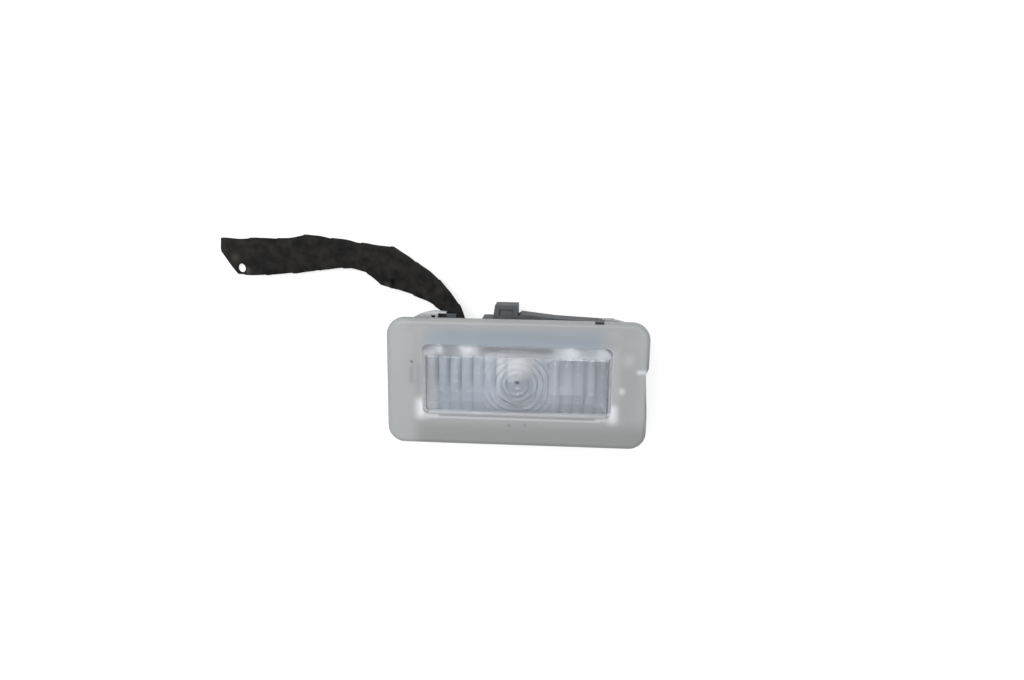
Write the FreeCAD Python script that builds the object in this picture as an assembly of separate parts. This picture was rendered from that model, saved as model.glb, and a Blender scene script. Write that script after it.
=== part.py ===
import FreeCAD, Part
import math
import os

# Car interior light: a clear snap-in lens, a pressed reflector, a plug-in holder with a wedge
# bulb, and a taped two-wire tail. Millimetres. +X runs along the bezel, +Y to the side where
# the wires leave, +Z out of the window. The origin is the middle of the bezel's seat on the trim.

Vector = FreeCAD.Vector
X_WAY = Vector(1, 0, 0)
Y_WAY = Vector(0, 1, 0)
Z_WAY = Vector(0, 0, 1)

# Small overshoot that lets a cutter pass a face, and lets joined solids bite into each other
overshoot = 0.5

# Length under which a straight run between two bends counts as used up
hair = 0.000001

# Bezel of the lens, with a shallow notch for prying it out at its right end
bezel_length = 75.0
bezel_height = 37.0
bezel_thickness = 2.6
bezel_corner_radius = 5.0
bezel_edge_round = 1.5
notch_top_y = 5.6
notch_step = 1.6
notch_length = 15.0
notch_depth = 1.0

# Clear window: a shallow recess in the front of the bezel with a bevelled rim
window_length = 52.6
window_height = 19.1
window_y = 0.85
window_recess = 0.8
window_corner_radius = 1.2

# Optics on the back of the window: rings in the middle, cushion cells at both sides, and a plain
# strip left along the upper edge
optics_margin = 0.3
plain_strip = 2.5
ring_zone_length = 19.0
ring_pitch = 1.6
ring_depth = 0.5
cell_length = 3.3
cell_height = 2.7
cell_groove_width = 0.9
cell_groove_depth = 0.4

# Box behind the bezel that passes through the trim. Its inside runs a little way into the bezel.
box_length = 60.0
box_bottom_y = -11.4
box_top_y = 15.0
box_depth = 18.0
box_wall = 1.6
box_corner_radius = 2.4
front_recess = 0.2

# Snaps that hold the trim panel against the bezel
panel_thickness = 3.0
lug_reach = 2.0
lug_land = 1.2
lug_height = 4.5
lug_width = 6.8
lug_y = 1.8
leaf_thickness = 1.3
leaf_root_height = 2.0
leaf_root_gap = 0.9
leaf_gap = 2.2
leaf_barb = 0.6
leaf_barb_height = 2.2
leaf_width = 13.6
leaf_y = 3.4
rib_spacing = 4.4
rib_width = 0.8
rib_reach = 1.4
rib_depth = 5.0

# Reflector, pressed from sheet, held behind the bezel by barbs on the box's end walls
sheet = 0.8
reflector_clearance = 0.3
bowl_rim = 0.1
bowl_length = 53.2
bowl_end_slope = 5.6
bowl_depth = 16.2
bowl_radius = 6.0
mouth_rise = 2.3
barb_reach = 0.7
barb_height = 1.6
barb_width = 8.0
barb_clearance = 0.1

# Wedge bulb, lying along Y behind the middle of the window
bulb_diameter = 10.0
bulb_glass_length = 16.2
bulb_glass_wall = 0.6
bulb_tip_length = 4.2
bulb_neck_length = 2.4
bulb_tip_gap = 0.3
bulb_axis_depth = 9.0
wedge_width = 9.5
wedge_thickness = 2.1
wedge_length = 9.0
lead_diameter = 0.5
lead_spacing = 4.8
lead_fold_length = 4.4
filament_height = 8.2
filament_diameter = 0.7

# Plug-in bulb holder
nose_gap = 0.2
socket_length = 20.8
socket_height = 10.4
socket_corner_radius = 1.6
socket_clearance = 0.3
slot_side_gap = 0.45
slot_end_gap = 0.2
slot_roof = 1.55
holder_plate_thickness = 0.8
holder_plate_margin = 1.0
holder_bar_left = -10.7
holder_bar_right = 24.8
holder_bar_front = 5.4
holder_bar_rear = 12.4
tab_rise = 2.0
grip_left = -7.5
grip_right = -0.3
grip_rise = 2.5
grip_lean = 0.5
grip_recess_depth = 0.8
grip_recess_margin = 1.3
grip_recess_height = 1.7
arm_start = 0.7
arm_knee = 10.8
arm_knee_drop = 1.1
arm_tip_height = 1.4
arm_lift = 1.0
notch_floor_drop = 0.7
tongue_length = 1.6
tongue_thickness = 0.8
tongue_width = 2.4
tongue_clearance = 0.2
snap_reach = 0.5
snap_height = 1.4
snap_width = 3.0
snap_clearance = 0.1

# Stamped contacts with crimped wires
contact_thickness = 0.35
contact_gap = 0.05
contact_width = 7.2
contact_length = 6.0
contact_nose_gap = 0.9
strap_width = 1.4
strap_rise = 2.6
strap_clearance = 0.2
crimp_gap = 1.8
crimp_length = 2.4
crimp_wall = 0.35
wire_diameter = 1.5
wire_corner_reach = 2.2

# Clear retainer at the left of the upper wall, with a hook and a small window
shelf_rise = 1.0
retainer_left = -31.5
retainer_right = -21.2
retainer_crown_x = -24.6
retainer_left_rise = 2.2
retainer_shoulder_rise = 3.9
retainer_crown_rise = 4.6
retainer_right_rise = 4.4
retainer_front = 4.6
retainer_thickness = 1.8
hook_gap_length = 2.4
hook_gap_low = 2.4
hook_gap_high = 3.95
eye_size = 1.0
eye_gap = 0.9

# Clear keeper at the right of the upper wall, which takes the tip of the holder's arm
keeper_clearance = 0.2
keeper_length = 9.1
keeper_left_rise = 3.2
keeper_middle_rise = 2.65
keeper_right_rise = 1.1
keeper_front = 5.2
keeper_thickness = 2.4
keeper_depth = 12.0
keeper_block_length = 3.2
keeper_roof = 0.5

# Strain relief at the outlet in the upper wall
outlet_x = -18.0
clip_length = 5.2
clip_height = 7.4
clip_clearance = 0.15
clip_plate_thickness = 0.8
clip_plate_margin = 0.3
clip_wire_clearance = 0.1
clip_tongue_reach = 5.0
clip_tongue_rise = 3.9
clip_tongue_bite = 0.3
clip_tongue_thickness = 0.7
clip_tongue_gap = 0.2
clip_lip_length = 2.7
clip_lip_rise = 3.85
clip_lip_thickness = 0.6

# Taped tail: a round tube on this route, which starts inside the outlet and ends on the ground
tail_diameter = 5.0
tail_route = [
    Vector(-16.5, 13.3, -8.2),
    Vector(-20.5, 19.9, -10.2),
    Vector(-27.2, 25.0, -12.4),
    Vector(-35.0, 29.2, -14.5),
    Vector(-43.8, 32.6, -15.5),
    Vector(-58.5, 35.6, -15.5),
    Vector(-78.0, 33.7, -15.5),
    Vector(-91.0, 34.6, -15.5),
]
tail_bend_share = 0.45

# Field of the optics
optics_height = window_height - plain_strip - 2 * optics_margin
optics_y = window_y - plain_strip / 2

# Inside of the box
inside_half = box_length / 2 - box_wall
inside_bottom = box_bottom_y + box_wall
inside_top = box_top_y - box_wall

# The chain from the box's lower wall up through the reflector and the bulb to the holder's roof
plate_bottom = inside_bottom + reflector_clearance
bowl_bottom = plate_bottom + bowl_rim + sheet
bulb_tip_y = bowl_bottom + bulb_tip_gap
bulb_shoulder_y = bulb_tip_y + bulb_glass_length
socket_nose_y = bulb_shoulder_y + nose_gap
bowl_top = bulb_shoulder_y - sheet
wedge_end_y = bulb_shoulder_y + wedge_length
lead_offset = (wedge_thickness + lead_diameter) / 2
lead_fold_y = wedge_end_y + lead_diameter / 2
slot_end_y = lead_fold_y + lead_diameter / 2 + slot_end_gap
filament_y = bulb_shoulder_y - filament_height

# Levels of the holder over the box's upper wall
plate_top_y = box_top_y + holder_plate_thickness
arm_crest_y = slot_end_y + slot_roof
arm_low_y = box_top_y + arm_lift
tongue_low_y = arm_low_y

# The bulb's axis and what lies on both sides of it
axis_z = -bulb_axis_depth
contact_offset = lead_offset + lead_diameter / 2 + contact_gap
slot_half = wedge_thickness / 2 + lead_diameter + slot_side_gap
strap_y = socket_nose_y + strap_rise
wire_offset = contact_offset + contact_thickness / 2
crimp_x = -(socket_length / 2 + crimp_gap)
keeper_left = holder_bar_right + keeper_clearance
keeper_right = keeper_left + keeper_length
clip_top_y = box_top_y + clip_plate_thickness


def block(x_low, x_high, y_low, y_high, z_low, z_high):
    """Box between two corners."""
    return Part.makeBox(x_high - x_low, y_high - y_low, z_high - z_low, Vector(x_low, y_low, z_low))


def prism(points, way):
    """Straight-sided solid on a flat outline of points."""
    return Part.Face(Part.makePolygon(points + points[:1])).extrude(way)


def rounded_outline(x_low, x_high, y_low, y_high, radius, z):
    """Closed wire of a rectangle with round corners, at one height."""
    bend = radius * (1 - math.sqrt(0.5))
    arcs = []
    for x, y, x_in, y_in in ((x_high, y_low, -1, 1), (x_high, y_high, -1, -1),
                             (x_low, y_high, 1, -1), (x_low, y_low, 1, 1)):
        along_x = Vector(x + x_in * radius, y, z)
        middle = Vector(x + x_in * bend, y + y_in * bend, z)
        along_y = Vector(x, y + y_in * radius, z)
        arcs.append((along_x, middle, along_y) if x_in != y_in else (along_y, middle, along_x))
    edges = []
    for index, (start, middle, end) in enumerate(arcs):
        edges.append(Part.Arc(start, middle, end).toShape())
        edges.append(Part.LineSegment(end, arcs[(index + 1) % 4][0]).toShape())
    return Part.Wire(edges)


def rounded_block(x_low, x_high, y_low, y_high, radius, z_low, z_high):
    """Upright block with round corners."""
    face = Part.Face(rounded_outline(x_low, x_high, y_low, y_high, radius, z_low))
    return face.extrude(Vector(0, 0, z_high - z_low))


def rounded_block_along_y(x_half, z_middle, z_half, radius, y_low, y_high):
    """Block with round corners whose length runs along Y."""
    solid = rounded_block(-x_half, x_half, -z_half, z_half, radius, 0, y_high - y_low)
    solid.rotate(Vector(0, 0, 0), X_WAY, -90)
    solid.translate(Vector(0, y_low, z_middle))
    return solid


def rod(start, way, length, diameter):
    """Round rod from a point."""
    return Part.makeCylinder(diameter / 2, length, start, way)


def bent_rod(points, radii, diameter):
    """Round rod along straight runs between points, with a tangent arc of a given radius at each corner."""
    solids = []
    last = points[0]
    for before, corner, after, radius in zip(points, points[1:], points[2:], radii):
        way_in = (corner - before).normalize()
        way_out = (after - corner).normalize()
        turn = way_in.getAngle(way_out)
        reach = radius * math.tan(turn / 2)
        start = corner - way_in * reach
        axis = way_in.cross(way_out).normalize()
        centre = start + axis.cross(way_in) * radius
        if (start - last).Length > hair:
            solids.append(rod(last, start - last, (start - last).Length, diameter))
        section = Part.Face(Part.Wire(Part.makeCircle(diameter / 2, start, way_in)))
        solids.append(section.revolve(centre, axis, math.degrees(turn)))
        last = corner + way_out * reach
    solids.append(rod(last, points[-1] - last, (points[-1] - last).Length, diameter))
    return solids[0].fuse(solids[1:])


def ring_cutter():
    """Stepped rings, each rising outwards, kept to the middle of the window."""
    count = int(ring_zone_length / 2 / ring_pitch) + 1
    profile = [Vector(0, 0, -overshoot)]
    for index in range(count):
        profile.append(Vector(index * ring_pitch, 0, 0))
        profile.append(Vector((index + 1) * ring_pitch, 0, ring_depth))
    profile.append(Vector(count * ring_pitch, 0, -overshoot))
    rings = Part.Face(Part.makePolygon(profile + profile[:1])).revolve(Vector(0, 0, 0), Z_WAY, 360)
    rings.translate(Vector(0, optics_y, front_recess))
    half_height = optics_height / 2
    zone = block(-ring_zone_length / 2, ring_zone_length / 2, optics_y - half_height, optics_y + half_height,
                 -2 * overshoot, front_recess + 2 * ring_depth)
    return rings.common(zone)


def groove(middle, across, along, length):
    """Straight groove with a sharp bottom, cut upwards into the back of the window."""
    half = cell_groove_width / 2 * (1 + overshoot / cell_groove_depth)
    foot = middle - Z_WAY * overshoot - along * (length / 2)
    return prism([foot - across * half, foot + across * half,
                  middle + Z_WAY * cell_groove_depth - along * (length / 2)], along * length)


def cell_cutters():
    """Grooves that part the two side zones of the window into cushion cells."""
    inner = ring_zone_length / 2
    outer = window_length / 2 - optics_margin
    zone_middle = (inner + outer) / 2
    columns = int((outer - inner) / cell_length)
    rows = int(optics_height / cell_height)
    cutters = []
    for side in (-1, 1):
        for column in range(columns + 1):
            x = side * (zone_middle + (column - columns / 2) * cell_length)
            cutters.append(groove(Vector(x, optics_y, front_recess), X_WAY, Y_WAY, optics_height))
        for row in range(rows + 1):
            y = optics_y + (row - rows / 2) * cell_height
            middle = Vector(side * zone_middle, y, front_recess)
            cutters.append(groove(middle, Y_WAY, X_WAY, columns * cell_length))
    return cutters


def bezel():
    """Front plate: rounded rim, notch at its right end, recessed window with its optics."""
    half_x = bezel_length / 2
    half_y = bezel_height / 2
    plate = rounded_block(-half_x, half_x, -half_y, half_y, bezel_corner_radius, 0, bezel_thickness)
    rim = [edge for edge in plate.Edges if edge.BoundBox.ZMin > bezel_thickness / 2]
    plate = plate.makeFillet(bezel_edge_round, rim)
    notch = prism([
        Vector(half_x + overshoot, notch_top_y, -overshoot),
        Vector(half_x, notch_top_y, -overshoot),
        Vector(half_x - notch_depth, notch_top_y - notch_step, -overshoot),
        Vector(half_x, notch_top_y - notch_length, -overshoot),
        Vector(half_x + overshoot, notch_top_y - notch_length, -overshoot),
    ], Z_WAY * (bezel_thickness + 2 * overshoot))
    floor = bezel_thickness - window_recess
    flare = window_recess + overshoot
    window_x = window_length / 2
    window_low = window_y - window_height / 2
    window_high = window_y + window_height / 2
    recess = Part.makeLoft([
        rounded_outline(-window_x, window_x, window_low, window_high, window_corner_radius, floor),
        rounded_outline(-window_x - flare, window_x + flare, window_low - flare, window_high + flare,
                        window_corner_radius + flare, floor + flare),
    ], True, True)
    return plate.cut([notch, recess, ring_cutter()] + cell_cutters())


def snap_lug():
    """Fixed lug on the left end of the box, under the trim panel."""
    wall_x = -box_length / 2
    top_z = -panel_thickness
    outline = [
        Vector(wall_x + overshoot, lug_y - lug_width / 2, top_z),
        Vector(wall_x - lug_reach, lug_y - lug_width / 2, top_z),
        Vector(wall_x - lug_reach, lug_y - lug_width / 2, top_z - lug_land),
        Vector(wall_x, lug_y - lug_width / 2, top_z - lug_height),
        Vector(wall_x + overshoot, lug_y - lug_width / 2, top_z - lug_height),
    ]
    return prism(outline, Y_WAY * lug_width)


def snap_leaf():
    """Springy leaf on the right end of the box, rooted at its rim, with a barb under the panel."""
    wall_x = box_length / 2
    top_z = -panel_thickness
    y = leaf_y - leaf_width / 2
    root_x = wall_x + leaf_root_gap
    inner_x = wall_x + leaf_gap
    outer_x = inner_x + leaf_thickness
    outline = [
        Vector(wall_x - overshoot, y, -box_depth),
        Vector(root_x + leaf_thickness, y, -box_depth),
        Vector(outer_x, y, top_z - leaf_barb_height),
        Vector(outer_x + leaf_barb, y, top_z - leaf_barb_height / 2),
        Vector(outer_x + leaf_barb, y, top_z),
        Vector(inner_x, y, top_z),
        Vector(inner_x, y, top_z - leaf_barb_height),
        Vector(root_x, y, -box_depth + leaf_root_height),
        Vector(wall_x - overshoot, y, -box_depth + leaf_root_height),
    ]
    return prism(outline, Y_WAY * leaf_width)


def retainer():
    """Shelf with a boat-shaped upstand; a hook and a small window look onto the strain relief."""
    base_y = box_top_y - overshoot
    rear_z = -retainer_front - retainer_thickness
    shelf = block(retainer_left, retainer_right, base_y, box_top_y + shelf_rise, rear_z, overshoot)
    left_y = box_top_y + retainer_left_rise
    crown_y = box_top_y + retainer_crown_rise
    right_y = box_top_y + retainer_right_rise
    shoulder_x = (retainer_left + retainer_crown_x) / 2
    shoulder_y = box_top_y + retainer_shoulder_rise
    upper = Part.Arc(Vector(retainer_left, left_y, rear_z), Vector(shoulder_x, shoulder_y, rear_z),
                     Vector(retainer_crown_x, crown_y, rear_z)).toShape()
    lower = Part.makePolygon([
        Vector(retainer_crown_x, crown_y, rear_z),
        Vector(retainer_right, right_y, rear_z),
        Vector(retainer_right, base_y, rear_z),
        Vector(retainer_left, base_y, rear_z),
        Vector(retainer_left, left_y, rear_z),
    ])
    upstand = Part.Face(Part.Wire([upper] + lower.Edges)).extrude(Z_WAY * retainer_thickness)
    hook_x = retainer_right - hook_gap_length
    hook = block(hook_x, retainer_right + overshoot, box_top_y + hook_gap_low, box_top_y + hook_gap_high,
                 rear_z - overshoot, -retainer_front + overshoot)
    eye = block(hook_x - eye_gap - eye_size, hook_x - eye_gap, box_top_y + hook_gap_low,
                box_top_y + hook_gap_low + eye_size, rear_z - overshoot, -retainer_front + overshoot)
    return shelf.fuse(upstand).cut([hook, eye])


def keeper():
    """Shelf with a low upstand, and a block whose pocket takes the tongue of the holder's arm."""
    base_y = box_top_y - overshoot
    shelf = block(keeper_left, keeper_right, base_y, box_top_y + shelf_rise, -keeper_depth, overshoot)
    rear_z = -keeper_front - keeper_thickness
    middle_x = keeper_left + keeper_length / 2
    upper = Part.Arc(Vector(keeper_left, box_top_y + keeper_left_rise, rear_z),
                     Vector(middle_x, box_top_y + keeper_middle_rise, rear_z),
                     Vector(keeper_right, box_top_y + keeper_right_rise, rear_z)).toShape()
    lower = Part.makePolygon([
        Vector(keeper_right, box_top_y + keeper_right_rise, rear_z),
        Vector(keeper_right, base_y, rear_z),
        Vector(keeper_left, base_y, rear_z),
        Vector(keeper_left, box_top_y + keeper_left_rise, rear_z),
    ])
    upstand = Part.Face(Part.Wire([upper] + lower.Edges)).extrude(Z_WAY * keeper_thickness)
    pocket_top = tongue_low_y + tongue_thickness + tongue_clearance
    pocket_block = block(keeper_left, keeper_left + keeper_block_length, base_y, pocket_top + keeper_roof,
                         -keeper_depth, rear_z + overshoot)
    tongue_z = -(holder_bar_front + holder_bar_rear) / 2
    half = tongue_width / 2 + tongue_clearance
    pocket = block(keeper_left - overshoot, holder_bar_right + tongue_length + tongue_clearance,
                   tongue_low_y - tongue_clearance, pocket_top, tongue_z - half, tongue_z + half)
    return shelf.fuse([upstand, pocket_block]).cut(pocket)


def lens():
    """The whole clear moulding."""
    half = box_length / 2
    box = rounded_block(-half, half, box_bottom_y, box_top_y, box_corner_radius, -box_depth, overshoot)
    hollow = rounded_block(-inside_half, inside_half, inside_bottom, inside_top,
                           box_corner_radius - box_wall, -box_depth - overshoot, front_recess)
    solids = [snap_lug(), snap_leaf(), retainer(), keeper()]
    for side in (-1, 1):
        x = side * rib_spacing / 2
        solids.append(block(x - rib_width / 2, x + rib_width / 2, box_bottom_y - rib_reach,
                            box_bottom_y + overshoot, -rib_depth, overshoot))
    body = box.fuse(solids).cut(hollow)
    barb_top = front_recess - sheet - barb_clearance
    barb_y = (inside_bottom + inside_top) / 2 - barb_width / 2
    for side in (-1, 1):
        wall_x = side * inside_half
        body = body.fuse(prism([
            Vector(wall_x + side * overshoot, barb_y, barb_top),
            Vector(wall_x - side * barb_reach, barb_y, barb_top),
            Vector(wall_x, barb_y, barb_top - barb_height),
            Vector(wall_x + side * overshoot, barb_y, barb_top - barb_height),
        ], Y_WAY * barb_width))
    socket_hole = rounded_block_along_y(
        socket_length / 2 + socket_clearance, axis_z, socket_height / 2 + socket_clearance,
        socket_corner_radius + socket_clearance, inside_top - overshoot, box_top_y + overshoot)
    clip_half_x = clip_length / 2 + clip_clearance
    clip_half_z = clip_height / 2 + clip_clearance
    clip_hole = block(outlet_x - clip_half_x, outlet_x + clip_half_x, inside_top - overshoot,
                      box_top_y + overshoot, axis_z - clip_half_z, axis_z + clip_half_z)
    body = body.cut([socket_hole, clip_hole])
    front = bezel().cut(hollow)
    keep = block(-bezel_length, bezel_length, -bezel_height, bezel_height, -2 * box_depth, 0)
    return front.fuse(body.common(keep)).removeSplitter()


def trough(grow):
    """Solid of the reflector's trough, grown outwards by a wall."""
    low = bowl_bottom - grow
    high = bowl_top + grow
    deep = -bowl_depth - grow
    radius = bowl_radius + grow
    bend = radius * (1 - math.sqrt(0.5))
    half = bowl_length / 2 + grow
    section = Part.Wire([
        Part.LineSegment(Vector(-half, high, overshoot), Vector(-half, low, overshoot)).toShape(),
        Part.LineSegment(Vector(-half, low, overshoot), Vector(-half, low, deep + radius)).toShape(),
        Part.Arc(Vector(-half, low, deep + radius), Vector(-half, low + bend, deep + bend),
                 Vector(-half, low + radius, deep)).toShape(),
        Part.LineSegment(Vector(-half, low + radius, deep), Vector(-half, high - radius, deep)).toShape(),
        Part.Arc(Vector(-half, high - radius, deep), Vector(-half, high - bend, deep + bend),
                 Vector(-half, high, deep + radius)).toShape(),
        Part.LineSegment(Vector(-half, high, deep + radius), Vector(-half, high, overshoot)).toShape(),
    ])
    channel = Part.Face(section).extrude(X_WAY * 2 * half)
    ends = prism([
        Vector(-half, low - overshoot, overshoot),
        Vector(half, low - overshoot, overshoot),
        Vector(half, low - overshoot, 0),
        Vector(half - bowl_end_slope, low - overshoot, deep - overshoot),
        Vector(-half + bowl_end_slope, low - overshoot, deep - overshoot),
        Vector(-half, low - overshoot, 0),
    ], Y_WAY * (high - low + 2 * overshoot))
    return channel.common(ends)


def reflector():
    """Front plate and trough of one sheet, open towards the window and at the bulb."""
    plate = block(-inside_half + reflector_clearance, inside_half - reflector_clearance,
                  plate_bottom, inside_top - reflector_clearance, front_recess - sheet, front_recess)
    below = block(-bezel_length, bezel_length, -bezel_height, bezel_height, -2 * box_depth, front_recess)
    shell = plate.fuse(trough(sheet).common(below)).cut(trough(0))
    mouth_half = socket_length / 2 + socket_clearance
    mouth_half_z = socket_height / 2 + socket_clearance
    mouth = block(-mouth_half, mouth_half, bowl_top - bowl_radius, socket_nose_y + mouth_rise,
                  axis_z - mouth_half_z, front_recess + overshoot)
    return shell.cut(mouth).removeSplitter()


def bulb_leads():
    """Front and rear lead: up from the filament through the pinch and folded sharply back on its face."""
    leads = []
    fold_end = lead_fold_y + lead_diameter / 2
    for side in (1, -1):
        x = -side * lead_spacing / 2
        fold_z = axis_z + side * lead_offset
        rise = rod(Vector(x, filament_y, axis_z), Y_WAY, fold_end - filament_y, lead_diameter)
        across = rod(Vector(x, lead_fold_y, axis_z), Z_WAY * side, lead_offset, lead_diameter)
        back = rod(Vector(x, fold_end, fold_z), -Y_WAY, lead_fold_length, lead_diameter)
        leads.append(rise.fuse([across, back]))
    return leads


def bulb_body(wall):
    """Turned body of the envelope: a tip of two cones, a straight side and a neck, shrunk by a wall."""
    radius = bulb_diameter / 2 - wall
    low = bulb_tip_y + wall
    tip_end = bulb_tip_y + bulb_tip_length
    neck = bulb_shoulder_y - bulb_neck_length
    high = bulb_shoulder_y - wall
    bow = math.sqrt(0.5)
    profile = [
        Vector(0, low, 0),
        Vector(radius * bow, tip_end - (tip_end - low) * bow, 0),
        Vector(radius, tip_end, 0),
        Vector(radius, neck, 0),
        Vector(radius * bow, high, 0),
        Vector(0, high, 0),
    ]
    body = Part.Face(Part.makePolygon(profile + profile[:1])).revolve(Vector(0, 0, 0), Y_WAY, 360)
    body.rotate(Vector(0, 0, 0), Y_WAY, 90)
    body.translate(Vector(0, 0, axis_z))
    return body


def bulb_glass():
    """Blown envelope, hollow inside, and its flat pinch, bored by the leads."""
    neck = bulb_shoulder_y - bulb_neck_length
    pinch = block(-wedge_width / 2, wedge_width / 2, neck, wedge_end_y,
                  axis_z - wedge_thickness / 2, axis_z + wedge_thickness / 2)
    bores = []
    for side in (-1, 1):
        foot = Vector(side * lead_spacing / 2, filament_y, axis_z)
        bores.append(rod(foot, Y_WAY, wedge_end_y - filament_y + overshoot, lead_diameter))
    return bulb_body(0).fuse(pinch).cut(bulb_body(bulb_glass_wall)).cut(bores)


def bulb_filament(leads):
    """Coil between the leads, as a plain rod."""
    coil = rod(Vector(-lead_spacing / 2, filament_y + filament_diameter / 2, axis_z), X_WAY, lead_spacing,
               filament_diameter)
    return coil.cut(leads)


def bulb_holder():
    """Socket that reaches in to the bulb, base plate on the box, grip and latch arm outside."""
    half = socket_length / 2
    socket = rounded_block_along_y(half, axis_z, socket_height / 2, socket_corner_radius,
                                   socket_nose_y, box_top_y)
    plate_half = half + socket_clearance + holder_plate_margin
    plate_half_z = socket_height / 2 + socket_clearance + holder_plate_margin
    plate = rounded_block_along_y(plate_half, axis_z, plate_half_z, socket_corner_radius,
                                  box_top_y, plate_top_y)
    tab_y = plate_top_y + tab_rise
    grip_y = arm_crest_y + grip_rise
    arm_tip_y = arm_low_y + arm_tip_height
    bar = prism([
        Vector(holder_bar_left, box_top_y, -holder_bar_rear),
        Vector(holder_bar_left, tab_y, -holder_bar_rear),
        Vector(grip_left, tab_y, -holder_bar_rear),
        Vector(grip_left + grip_lean, grip_y, -holder_bar_rear),
        Vector(grip_right, grip_y, -holder_bar_rear),
        Vector(grip_right, arm_crest_y - notch_floor_drop, -holder_bar_rear),
        Vector(arm_start, arm_crest_y, -holder_bar_rear),
        Vector(arm_knee, arm_crest_y - arm_knee_drop, -holder_bar_rear),
        Vector(holder_bar_right, arm_tip_y, -holder_bar_rear),
        Vector(holder_bar_right, arm_low_y, -holder_bar_rear),
        Vector(plate_half, arm_low_y, -holder_bar_rear),
        Vector(plate_half, box_top_y, -holder_bar_rear),
    ], Z_WAY * (holder_bar_rear - holder_bar_front))
    tongue_z = -(holder_bar_front + holder_bar_rear) / 2
    tongue = block(holder_bar_right - overshoot, holder_bar_right + tongue_length, tongue_low_y,
                   tongue_low_y + tongue_thickness, tongue_z - tongue_width / 2, tongue_z + tongue_width / 2)
    solids = [plate, bar, tongue]
    snap_top = inside_top - snap_clearance
    for side in (-1, 1):
        solids.append(prism([
            Vector(side * (half - overshoot), snap_top, axis_z - snap_width / 2),
            Vector(side * (half + snap_reach), snap_top, axis_z - snap_width / 2),
            Vector(side * half, snap_top - snap_height, axis_z - snap_width / 2),
            Vector(side * (half - overshoot), snap_top - snap_height, axis_z - snap_width / 2),
        ], Z_WAY * snap_width))
    slot_x = wedge_width / 2 + slot_side_gap
    slot = block(-slot_x, slot_x, socket_nose_y - overshoot, slot_end_y,
                 axis_z - slot_half, axis_z + slot_half)
    channel = block(-half - snap_reach - overshoot, 0, strap_y - strap_width / 2 - strap_clearance,
                    strap_y + strap_width / 2 + strap_clearance, axis_z - slot_half, axis_z + slot_half)
    recess = block(grip_left + grip_lean + grip_recess_margin, grip_right - grip_recess_margin,
                   grip_y - grip_recess_margin - grip_recess_height, grip_y - grip_recess_margin,
                   -holder_bar_front - grip_recess_depth, -holder_bar_front + overshoot)
    return socket.fuse(solids).cut([slot, channel, recess]).removeSplitter()


def contact(side):
    """Stamped strip on one face of the pinch, with a strap to its crimp barrel."""
    z = axis_z + side * wire_offset - contact_thickness / 2
    pad_low = socket_nose_y + contact_nose_gap
    pad = block(-contact_width / 2, contact_width / 2, pad_low, pad_low + contact_length,
                z, z + contact_thickness)
    strap = block(crimp_x, 0, strap_y - strap_width / 2, strap_y + strap_width / 2, z, z + contact_thickness)
    middle = Vector(crimp_x, strap_y, axis_z + side * wire_offset)
    barrel = rod(middle, -X_WAY, crimp_length, wire_diameter + 2 * crimp_wall)
    end_plate = rod(middle, X_WAY, crimp_wall, wire_diameter + 2 * crimp_wall)
    bore = rod(middle, -X_WAY, crimp_length + overshoot, wire_diameter)
    return pad.fuse([strap, barrel.cut(bore), end_plate]).removeSplitter()


def wire(side):
    """Insulated wire from the bottom of its crimp, past a cut-off corner and out of the strain relief."""
    z = axis_z + side * wire_offset
    route = [
        Vector(crimp_x, strap_y, z),
        Vector(outlet_x + wire_corner_reach, strap_y, z),
        Vector(outlet_x, strap_y + wire_corner_reach, z),
        Vector(outlet_x, clip_top_y, z),
    ]
    section = Part.Wire(Part.makeCircle(wire_diameter / 2, route[0], -X_WAY))
    return Part.makePolygon(route).makePipeShell([section], True, False, 1)


def cable_clip():
    """Strain relief pushed into the upper wall, with a tongue behind the retainer and a lip in front."""
    half = clip_length / 2
    half_z = clip_height / 2
    snap_top = inside_top - snap_clearance
    plug = block(outlet_x - half, outlet_x + half, snap_top - snap_height, box_top_y,
                 axis_z - half_z, axis_z + half_z)
    plate_half = half + clip_clearance + clip_plate_margin
    plate_half_z = half_z + clip_clearance + clip_plate_margin
    plate = block(outlet_x - plate_half, outlet_x + plate_half, box_top_y, clip_top_y,
                  axis_z - plate_half_z, axis_z + plate_half_z)
    tongue_z = -retainer_front - retainer_thickness - clip_tongue_gap
    tongue = block(retainer_right - clip_tongue_reach, outlet_x - plate_half + clip_tongue_bite, box_top_y,
                   box_top_y + clip_tongue_rise, tongue_z - clip_tongue_thickness, tongue_z)
    lip_z = axis_z + plate_half_z
    lip = block(outlet_x - plate_half, outlet_x - plate_half + clip_lip_length, box_top_y,
                box_top_y + clip_lip_rise, lip_z - clip_lip_thickness, lip_z)
    solids = [plate, tongue, lip]
    for side in (-1, 1):
        solids.append(prism([
            Vector(outlet_x - half, snap_top, axis_z + side * (half_z - overshoot)),
            Vector(outlet_x - half, snap_top, axis_z + side * (half_z + snap_reach)),
            Vector(outlet_x - half, snap_top - snap_height, axis_z + side * half_z),
            Vector(outlet_x - half, snap_top - snap_height, axis_z + side * (half_z - overshoot)),
        ], X_WAY * clip_length))
    room = wire_diameter / 2 + clip_wire_clearance
    pocket_half_z = wire_offset + room
    pocket = block(outlet_x - room, outlet_x + half + overshoot, snap_top - snap_height - overshoot,
                   strap_y + wire_corner_reach + room, axis_z - pocket_half_z, axis_z + pocket_half_z)
    cutters = [pocket]
    for side in (-1, 1):
        foot = Vector(outlet_x, snap_top - snap_height, axis_z + side * wire_offset)
        cutters.append(rod(foot, Y_WAY, clip_top_y - foot.y + overshoot, 2 * room))
    return plug.fuse(solids).cut(cutters).removeSplitter()


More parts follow.
